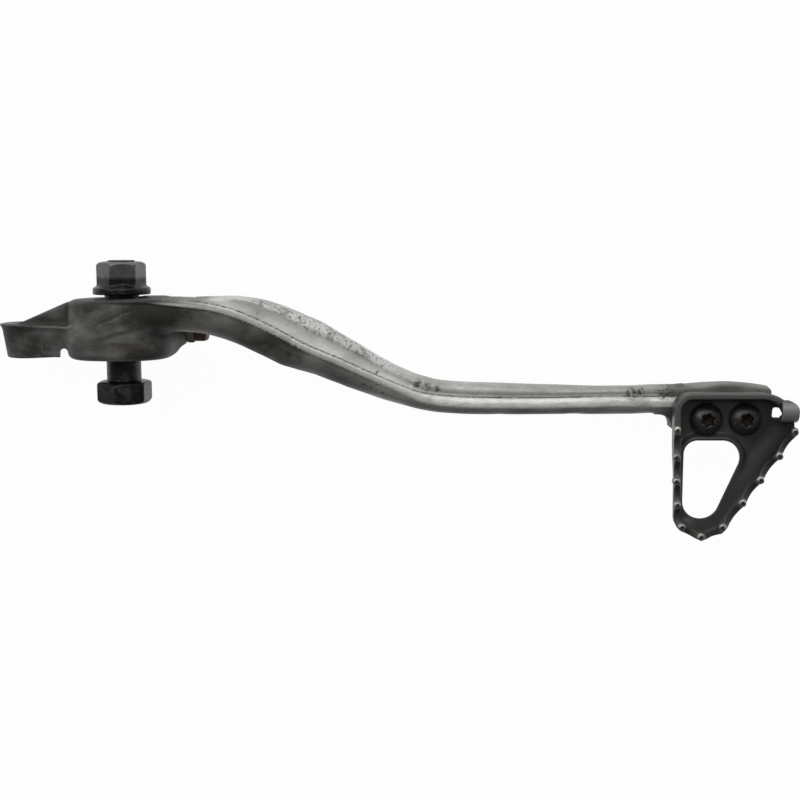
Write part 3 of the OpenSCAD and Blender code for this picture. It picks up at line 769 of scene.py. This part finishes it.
# ---------------------------------------------------------------- looks
class Paint:
    """A procedural material, built node by node."""

    def __init__(self, name):
        self.mat = bpy.data.materials.new(name)
        self.mat.use_nodes = True
        self.nodes = self.mat.node_tree.nodes
        self.links = self.mat.node_tree.links
        self.bsdf = self.nodes["Principled BSDF"]
        self.at = self.nodes.new("ShaderNodeTexCoord").outputs["Object"]

    def put(self, socket, value):
        """Links or sets a socket; a plain number or a colour without alpha is widened."""
        if isinstance(value, bpy.types.NodeSocket):
            self.links.new(value, socket)
        elif hasattr(socket.default_value, "__len__") and not hasattr(value, "__len__"):
            socket.default_value = [value] * 3 + [1] * (len(socket.default_value) - 3)
        elif hasattr(value, "__len__") and len(socket.default_value) > len(value):
            socket.default_value = (*value, 1)
        else:
            socket.default_value = value

    def math(self, op, *values, clamp=False):
        n = self.nodes.new("ShaderNodeMath")
        n.operation = op
        n.use_clamp = clamp
        for socket, value in zip(n.inputs, values):
            self.put(socket, value)
        return n.outputs[0]

    def ramp(self, value, lo, hi, a=0.0, b=1.0):
        n = self.nodes.new("ShaderNodeMapRange")
        for socket, v in zip(n.inputs, (value, lo, hi, a, b)):
            self.put(socket, v)
        return n.outputs[0]

    def mix(self, fac, a, b):
        n = self.nodes.new("ShaderNodeMix")
        n.data_type = "RGBA"
        for socket, v in zip((n.inputs[0], n.inputs[6], n.inputs[7]), (fac, a, b)):
            self.put(socket, v)
        return n.outputs[2]

    def noise(self, size, detail=4.0, rough=0.55, stretch=(1, 1, 1), turn=(0, 0, 0),
              warp=0.0):
        """Noise whose grains are about size millimetres, drawn out by stretch."""
        m = self.nodes.new("ShaderNodeMapping")
        self.put(m.inputs["Vector"], self.at)
        self.put(m.inputs["Rotation"], turn)
        self.put(m.inputs["Scale"], [1 / (size * MM * k) for k in stretch])
        n = self.nodes.new("ShaderNodeTexNoise")
        self.put(n.inputs["Vector"], m.outputs[0])
        self.put(n.inputs["Scale"], 1.0)
        self.put(n.inputs["Detail"], detail)
        self.put(n.inputs["Roughness"], rough)
        self.put(n.inputs["Distortion"], warp)
        return n.outputs["Fac"]

    def mark(self, name):
        n = self.nodes.new("ShaderNodeAttribute")
        n.attribute_name = name
        return n.outputs["Fac"]

    def bump(self, *layers):
        """Layers of (height, depth in millimetres)."""
        last = None
        for height, depth in layers:
            n = self.nodes.new("ShaderNodeBump")
            self.put(n.inputs["Strength"], 1.0)
            self.put(n.inputs["Distance"], depth * MM)
            self.put(n.inputs["Height"], height)
            if last:
                self.put(n.inputs["Normal"], last)
            last = n.outputs[0]
        self.put(self.bsdf.inputs["Normal"], last)

    def finish(self, color, rough, metal):
        for key, value in (("Base Color", color), ("Roughness", rough), ("Metallic", metal)):
            self.put(self.bsdf.inputs[key], value)
        return self.mat


def aluminium():
    """Cast-finish aluminium, grimy round the hub, with painted highlights on the arm's polished
    ridge, a painted paler lit side, and painted shade on the outer side and in hollows.
    """
    m = Paint("forged_aluminium")
    dirt_and_shade, hollow, edge = m.mark("dirt_and_shade"), m.mark("hollow"), m.mark("edge")
    ridge, inner, speck = m.mark("ridge"), m.mark("inner"), m.mark("speck")
    cloud = m.noise(14, 5, 0.6, (1.8, 1, 1))
    grime_and_shade = m.math("ADD", dirt_and_shade, m.ramp(cloud, 0.35, 0.75, -0.22, 0.34))
    # painted shade in hollows, with some soiling; less of it on the lit inner side
    grime_and_shade = m.math("ADD", grime_and_shade, m.math("MULTIPLY", hollow, m.ramp(inner, 0, 0.6, 0.55, 0.12)))
    grime_and_shade = m.math("SUBTRACT", grime_and_shade, m.math("MULTIPLY", ridge, 1.1))
    grime_and_shade = m.math("SUBTRACT", grime_and_shade, m.ramp(edge, 0.45, 1.0, 0.0, 0.35), clamp=True)
    fine = m.noise(0.55, 3, 0.7)
    grain = m.noise(0.28, 2, 0.6)
    clean = m.mix(m.ramp(fine, 0.3, 0.7), (0.44, 0.44, 0.422), (0.59, 0.59, 0.565))
    clean = m.mix(m.ramp(m.noise(9, 4, 0.6), 0.4, 0.7, 0, 0.45), clean, (0.32, 0.318, 0.30))
    # painted light: paler colour on the middle of the inner side, which faces the lamp
    clean = m.mix(m.math("MULTIPLY", m.mark("painted_lit_side"), 0.6), clean, (0.78, 0.78, 0.76))
    dark_grime_and_shade = m.mix(m.ramp(m.noise(5, 5, 0.65), 0.3, 0.7),
                  (0.022, 0.023, 0.020), (0.040, 0.040, 0.035))
    rusty = m.ramp(m.noise(11, 3, 0.6), 0.58, 0.70, 0, 0.4)
    dark_grime_and_shade = m.mix(rusty, dark_grime_and_shade, (0.062, 0.040, 0.028))
    pits = m.math("MULTIPLY", m.ramp(m.noise(0.8, 3, 0.6), 0.60, 0.68),
                  m.ramp(m.noise(9, 2), 0.42, 0.6))
    dark_grime_and_shade = m.mix(m.math("MULTIPLY", pits, 0.7), dark_grime_and_shade, (0.014, 0.014, 0.013))
    # soiling and painted shade darken the clean metal
    color = m.mix(grime_and_shade, clean, dark_grime_and_shade)
    # painted highlight: pale grey along the ridge and the crease, on a ridge that handling has
    # polished
    ridge_highlight = m.math("MULTIPLY", ridge,
                   m.ramp(m.noise(1.0, 4, 0.7, (5, 1, 1)), 0.40, 0.60, 0.15, 1.0))
    color = m.mix(m.math("MULTIPLY", ridge_highlight, 0.85), color, (0.74, 0.74, 0.715))
    # grey specks past the crease
    dots = m.math("MAXIMUM", m.ramp(m.noise(1.2, 3, 0.6), 0.52, 0.60),
                  m.ramp(m.noise(3.6, 5, 0.7), 0.53, 0.60, 0, 0.8))
    dots = m.math("MULTIPLY", dots, m.math("MULTIPLY", speck, 0.85))
    color = m.mix(dots, color, (0.15, 0.15, 0.142))
    stain = m.math("MULTIPLY", m.mark("stain"), m.ramp(m.noise(1.3, 4, 0.7), 0.46, 0.54))
    color = m.mix(m.math("MULTIPLY", stain, 0.85), color, (0.035, 0.028, 0.021))
    # a rusty patch on the hub, and a few brown spots all over
    patch = m.math("MULTIPLY", m.mark("rust"), m.ramp(m.noise(3, 3, 0.6), 0.35, 0.55))
    color = m.mix(m.math("MULTIPLY", patch, 0.6), color, (0.050, 0.029, 0.022))
    spots = m.math("MULTIPLY", m.ramp(m.noise(2.1, 2, 0.5), 0.70, 0.74),
                   m.ramp(m.noise(26, 1, 0.5), 0.5, 0.62))
    color = m.mix(m.math("MULTIPLY", spots, 0.8), color, (0.07, 0.045, 0.03))
    # scratches along and across the arm, on its cleaner parts
    along = m.ramp(m.noise(0.5, 1.5, 0.4, (26, 1, 1), (0, 0, -0.35)), 0.70, 0.78)
    across = m.ramp(m.noise(0.6, 1.5, 0.4, (1.2, 22, 4), (0, 0, 0.5)), 0.72, 0.79)
    line = m.math("MAXIMUM", along, across)
    line = m.math("MULTIPLY", line, m.ramp(m.noise(18, 2), 0.45, 0.6))
    line = m.math("MULTIPLY", line, m.ramp(dirt_and_shade, 0.1, 0.7, 1.0, 0.0))
    color = m.mix(m.math("MULTIPLY", line, 0.7), color, (0.55, 0.53, 0.50))
    rough = m.ramp(grime_and_shade, 0, 1, 0.48, 0.62)
    rough = m.math("ADD", rough, m.ramp(fine, 0.3, 0.7, -0.05, 0.07))
    rough = m.math("SUBTRACT", rough, m.math("MULTIPLY", ridge, 0.12))
    metal = m.ramp(grime_and_shade, 0, 1, 0.55, 0.25)
    m.bump((fine, 0.05), (m.noise(2.6, 3, 0.5), 0.10), (grain, 0.02), (line, 0.03))
    return m.finish(color, rough, metal)


def stamped():
    """Black-finished sheet, worn on the teeth and dusty on the floor, with painted highlights on
    the tips' lit side, painted shade in their dimples and on the scalloped walls, and a painted
    paler flap.
    """
    m = Paint("stamped_steel")
    hollow, edge, rim = m.mark("hollow"), m.mark("edge"), m.mark("rim")
    tip, scallop_shade, dust = m.mark("tip"), m.mark("scallop_shade"), m.mark("dust")
    bend = m.mark("bend")
    fine = m.noise(0.5, 3, 0.7)
    cloud = m.noise(7, 5, 0.62)
    color = m.mix(m.ramp(cloud, 0.3, 0.7), (0.034, 0.034, 0.036), (0.060, 0.057, 0.053))
    color = m.mix(m.math("MULTIPLY", rim, 0.75), color, (0.125, 0.120, 0.110))
    speckle = m.ramp(m.noise(0.8, 2, 0.6), 0.60, 0.70, 0, 0.5)
    color = m.mix(speckle, color, (0.11, 0.10, 0.088))
    color = m.mix(m.math("MULTIPLY", dust, 0.25), color, (0.115, 0.105, 0.09))
    # painted light: the curled flap is painted paler, where it catches the lamp; the tone below
    # holds that colour
    rubbed = m.mix(m.ramp(fine, 0.3, 0.7), (0.16, 0.16, 0.155), (0.26, 0.26, 0.25))
    color = m.mix(m.mark("curl"), color, rubbed)
    brown = m.math("MULTIPLY", m.ramp(m.noise(4, 4, 0.6), 0.55, 0.7), m.ramp(hollow, 0.1, 0.8))
    color = m.mix(m.math("MULTIPLY", brown, 0.6), color, (0.085, 0.052, 0.034))
    # painted shade: darker on the scalloped walls of the lower sides
    color = m.mix(m.math("MULTIPLY", scallop_shade, 0.5), color, (0.022, 0.020, 0.018))
    wear = m.math("MULTIPLY", m.ramp(edge, 0.55, 1.0), m.ramp(m.noise(3, 4, 0.65), 0.40, 0.62))
    color = m.mix(m.math("MULTIPLY", wear, 0.6), color, (0.30, 0.285, 0.26))
    color = m.mix(m.math("MULTIPLY", bend, 0.8), color, (0.018, 0.018, 0.017))
    # painted highlight on the lit +y side of each tooth's worn tip
    tip_highlight = m.math("MULTIPLY", tip, m.ramp(m.noise(4, 2), 0.4, 0.6, 0.45, 0.9))
    color = m.mix(tip_highlight, color, (0.60, 0.59, 0.56))
    # painted shade: near black in the dimple of each tooth's tip
    color = m.mix(m.math("MULTIPLY", m.mark("eye"), 0.9), color, (0.012, 0.012, 0.011))
    wear = m.math("MAXIMUM", wear, tip, clamp=True)
    rough = m.ramp(cloud, 0.3, 0.7, 0.34, 0.47)
    rough = m.math("ADD", rough, m.math("MULTIPLY", dust, 0.12))
    rough = m.math("ADD", rough, m.math("MULTIPLY", bend, 0.28))
    metal = m.ramp(wear, 0, 1, 0.25, 0.8)
    m.bump((fine, 0.03), (m.noise(2.2, 3, 0.5), 0.07))
    return m.finish(color, rough, metal)


def black(name, bare=None, tone=1.0):
    """Blackened steel with rust in its hollows and worn edges.

    bare is the stretch of y, in millimetres, over which it turns to rubbed
    grey of this tone.
    """
    m = Paint(name)
    hollow, edge = m.mark("hollow"), m.mark("edge")
    fine, cloud = m.noise(0.5, 3, 0.7), m.noise(4.5, 5, 0.65)
    color = m.mix(m.ramp(cloud, 0.35, 0.7), (0.010, 0.011, 0.011), (0.030, 0.031, 0.030))
    worn = m.ramp(m.noise(6, 4, 0.6, warp=0.6), 0.56, 0.66, 0, 0.7)
    color = m.mix(worn, color, (0.090, 0.088, 0.082))
    if bare:
        n = m.nodes.new("ShaderNodeSeparateXYZ")
        m.put(n.inputs[0], m.at)
        share = m.ramp(n.outputs["Y"], bare[0] * MM, bare[1] * MM)
        grey = m.mix(m.ramp(cloud, 0.3, 0.7), [tone * c for c in (0.100, 0.108, 0.102)],
                     [tone * c for c in (0.155, 0.163, 0.153)])
        dark = m.mix(0.45, color, (0.008, 0.009, 0.008))
        color = m.mix(m.math("MULTIPLY", share, 0.9), dark, grey)
    rust = m.math("MULTIPLY", m.ramp(m.noise(1.7, 5, 0.7), 0.56, 0.66),
                  m.ramp(m.noise(8, 3), 0.4, 0.55))
    rust = m.math("MAXIMUM", rust, m.math("MULTIPLY", m.ramp(hollow, 0.45, 1.0), 0.65),
                  clamp=True)
    color = m.mix(m.math("MULTIPLY", rust, 0.75), color, (0.060, 0.034, 0.022))
    color = m.mix(m.ramp(hollow, 0.55, 0.95), color, (0.020, 0.011, 0.008))
    crust = m.mix(m.ramp(fine, 0.4, 0.6), (0.006, 0.004, 0.003), (0.032, 0.015, 0.010))
    color = m.mix(m.math("MULTIPLY", m.mark("pit"), 0.9), color, crust)
    wear = m.math("MULTIPLY", m.ramp(edge, 0.5, 1.0), m.ramp(cloud, 0.4, 0.6))
    color = m.mix(m.math("MULTIPLY", wear, 0.5), color, (0.24, 0.235, 0.225))
    rough = m.math("ADD", m.ramp(rust, 0, 1, 0.33, 0.75), m.ramp(fine, 0.3, 0.7, -0.04, 0.06))
    metal = m.ramp(rust, 0, 1, 0.75, 0.05)
    m.bump((fine, 0.03), (m.math("MULTIPLY", rust, m.noise(0.9, 3)), 0.12))
    return m.finish(color, rough, metal)


def rusted():
    """Steel stop screw, browned all over."""
    m = Paint("stop_steel")
    hollow, edge = m.mark("hollow"), m.mark("edge")
    fine, cloud = m.noise(0.6, 4, 0.7), m.noise(3, 5, 0.65)
    color = m.mix(m.ramp(cloud, 0.3, 0.7), (0.045, 0.028, 0.020), (0.10, 0.060, 0.036))
    color = m.mix(m.ramp(fine, 0.52, 0.7, 0, 0.5), color, (0.055, 0.050, 0.046))
    color = m.mix(m.ramp(hollow, 0.4, 1.0, 0, 0.6), color, (0.022, 0.016, 0.012))
    color = m.mix(m.ramp(edge, 0.5, 1.0, 0, 0.4), color, (0.16, 0.135, 0.11))
    m.bump((fine, 0.08), (cloud, 0.1))
    return m.finish(color, m.ramp(fine, 0.3, 0.7, 0.5, 0.75), m.ramp(cloud, 0.3, 0.7, 0.45, 0.15))


def bronze():
    """Plain bearing bronze with turning marks."""
    m = Paint("bush_bronze")
    cloud, turned = m.noise(5, 4, 0.6), m.noise(0.5, 2, 0.5, (12, 1, 12))
    color = m.mix(m.ramp(cloud, 0.3, 0.7), (0.30, 0.185, 0.085), (0.20, 0.12, 0.06))
    color = m.mix(m.ramp(turned, 0.5, 0.75, 0, 0.4), color, (0.10, 0.062, 0.035))
    m.bump((turned, 0.02))
    return m.finish(color, m.ramp(cloud, 0.3, 0.7, 0.3, 0.45), 0.9)


def rubber():
    """Black seal rubber with a little dust."""
    m = Paint("seal_rubber")
    fine, cloud = m.noise(0.4, 3, 0.6), m.noise(4, 4, 0.6)
    color = m.mix(m.ramp(cloud, 0.4, 0.7), (0.018, 0.018, 0.018), (0.050, 0.046, 0.040))
    m.bump((fine, 0.02))
    return m.finish(color, m.ramp(cloud, 0.3, 0.7, 0.55, 0.75), 0.0)


for mat, pieces in ((aluminium(), [forged]),
                    (stamped(), [plate]),
                    (black("black_steel"), [bolt_piece]),
                    (black("nut_steel", (27.2, 28.4)), [nut_piece]),
                    (black("screw_steel", (-40, -39), 0.45), screw_pieces),
                    (rusted(), [stop_piece, lock_piece])):
    for o in pieces:
        o.data.materials.append(mat)
for mat, kind in ((bronze(), "bush"), (rubber(), "seal")):
    for side in ("lug", "nut"):
        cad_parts[f"{kind}_{side}_side"].material_slots[0].material = mat

# ---------------------------------------------------------------- stage
scene = bpy.context.scene
scene.view_settings.view_transform = "Standard"

CAM_POS = Vector((97.4, 48.10, 452.55)) * MM
CAM_AT = Vector((97.4, -15.5, 0.0)) * MM
FOCAL_PX, FRAME_PX, SENSOR = 1290.0, 800.0, 36.0

cam_data = bpy.data.cameras.new("camera")
cam_data.sensor_width = SENSOR
cam_data.lens = SENSOR * FOCAL_PX / FRAME_PX
cam_data.clip_start, cam_data.clip_end = 0.01, 20
camera = bpy.data.objects.new("camera", cam_data)
scene.collection.objects.link(camera)
scene.camera = camera
back = (CAM_POS - CAM_AT).normalized()
right = Vector((0, 1, 0)).cross(back).normalized()
camera.location = CAM_POS
camera.rotation_mode = "QUATERNION"
camera.rotation_quaternion = Matrix((right, back.cross(right), back)).transposed().to_quaternion()


def light(name, at, size, power):
    """Soft box at this place, turned to the middle of the part."""
    lamp = bpy.data.lights.new(name, "AREA")
    lamp.shape = "RECTANGLE"
    lamp.size, lamp.size_y = size
    lamp.energy = power
    o = bpy.data.objects.new(name, lamp)
    scene.collection.objects.link(o)
    o.location = at
    o.rotation_mode = "QUATERNION"
    o.rotation_quaternion = (Vector((0.1, 0, 0)) - Vector(at)).to_track_quat("-Z", "Y")


light("sky", (0.1, 0.85, 0.62), (1.3, 0.6), 5.0)
light("window", (-0.55, 0.45, 0.9), (0.5, 0.5), 2.0)


def soft_world():
    """Grey all round, brighter towards +Y; white where the camera looks past the floor."""
    world = bpy.data.worlds.new("world")
    scene.world = world
    world.use_nodes = True
    nodes, links = world.node_tree.nodes, world.node_tree.links
    at = nodes.new("ShaderNodeTexCoord").outputs["Generated"]
    split = nodes.new("ShaderNodeSeparateXYZ")
    links.new(at, split.inputs[0])
    # Y from -0.6 to 0.9 gives strengths from 0.10 to 0.55
    tone = nodes.new("ShaderNodeMapRange")
    links.new(split.outputs["Y"], tone.inputs[0])
    for socket, v in zip(tone.inputs[1:5], (-0.6, 0.9, 0.10, 0.55)):
        socket.default_value = v
    path = nodes.new("ShaderNodeLightPath")
    seen = nodes.new("ShaderNodeMix")
    links.new(path.outputs["Is Camera Ray"], seen.inputs[0])
    links.new(tone.outputs[0], seen.inputs[2])
    seen.inputs[3].default_value = 1.0
    links.new(seen.outputs[0], nodes["Background"].inputs["Strength"])
    nodes["Background"].inputs["Color"].default_value = (1, 1, 1, 1)


def pale_floor():
    """Plane just under the part: white to the eye and in reflections, with a soft shadow."""
    mesh = bpy.data.meshes.new("floor")
    mesh.from_pydata([(-3, -3, 0), (3, -3, 0), (3, 3, 0), (-3, 3, 0)], [], [(0, 1, 2, 3)])
    floor = bpy.data.objects.new("floor", mesh)
    scene.collection.objects.link(floor)
    floor.location = (0, 0, cad_lo.z - 0.0002)
    mat = bpy.data.materials.new("floor")
    mat.use_nodes = True
    nodes, links = mat.node_tree.nodes, mat.node_tree.links
    bsdf = nodes["Principled BSDF"]
    bsdf.inputs["Base Color"].default_value = (0.8, 0.8, 0.8, 1)
    bsdf.inputs["Roughness"].default_value = 0.9
    glow = nodes.new("ShaderNodeEmission")
    glow.inputs["Color"].default_value = (1, 1, 1, 1)
    glow.inputs["Strength"].default_value = 1.0
    path = nodes.new("ShaderNodeLightPath")
    either = path.outputs["Is Camera Ray"]
    for other in ("Is Glossy Ray", "Is Transmission Ray"):
        n = nodes.new("ShaderNodeMath")
        n.operation = "MAXIMUM"
        links.new(either, n.inputs[0])
        links.new(path.outputs[other], n.inputs[1])
        either = n.outputs[0]
    share = nodes.new("ShaderNodeMath")
    share.operation = "MULTIPLY"
    links.new(either, share.inputs[0])
    share.inputs[1].default_value = 0.975
    both = nodes.new("ShaderNodeMixShader")
    links.new(share.outputs[0], both.inputs[0])
    links.new(bsdf.outputs[0], both.inputs[1])
    links.new(glow.outputs[0], both.inputs[2])
    links.new(both.outputs[0], nodes["Material Output"].inputs["Surface"])
    mesh.materials.append(mat)


soft_world()
pale_floor()
